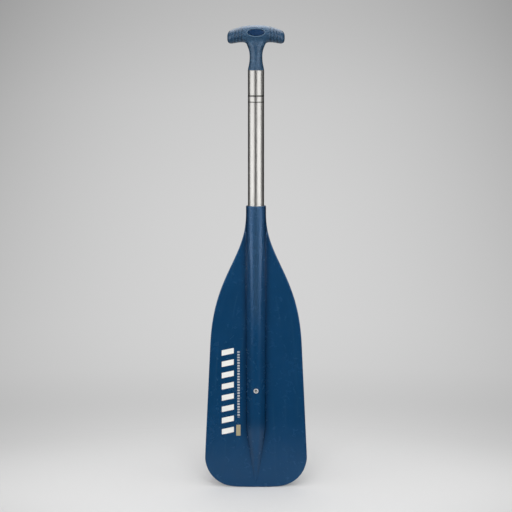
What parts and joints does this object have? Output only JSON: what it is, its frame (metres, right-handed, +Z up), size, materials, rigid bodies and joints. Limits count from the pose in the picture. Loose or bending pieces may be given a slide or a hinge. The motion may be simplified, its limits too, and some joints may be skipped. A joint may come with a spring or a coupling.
{
  "type": "canoe paddle",
  "caption": "Straight canoe paddle with a broad moulded blade, a raised tapering spine, a round alloy shaft and a T-shaped hand grip.",
  "frame": {"origin": "middle of the blade's tip, on the floor that the upright paddle stands on", "axes": "+Z up the shaft from the blade's tip to the grip, +X across the blade, +Y from the front face to the back face"},
  "size_m": [0.2022, 0.0394, 0.9145],
  "materials": {
    "blade_plastic": "satin moulded polypropylene, deep blue",
    "tube_aluminium": "drawn and lightly brushed, satin",
    "grip_plastic": "fine moulded stipple, blue",
    "plate_plastic": "smooth, deep blue, blank",
    "rivet_metal": "pressed, bright",
    "stem_metal": "broken end, grey",
    "foam": "closed-cell foam, off-white",
    "plug_plastic": "moulded, black"
  },
  "bodies": {
    "root": {"blade": "blade_plastic", "shaft_tube": "tube_aluminium", "grip": "grip_plastic", "grip_plate": "plate_plastic", "blade_rivet": "rivet_metal", "blade_rivet_stem": "stem_metal", "grip_rivet": "rivet_metal", "grip_rivet_stem": "stem_metal", "foam_core": "foam", "shaft_plug": "plug_plastic"}
  },
  "joints": []
}
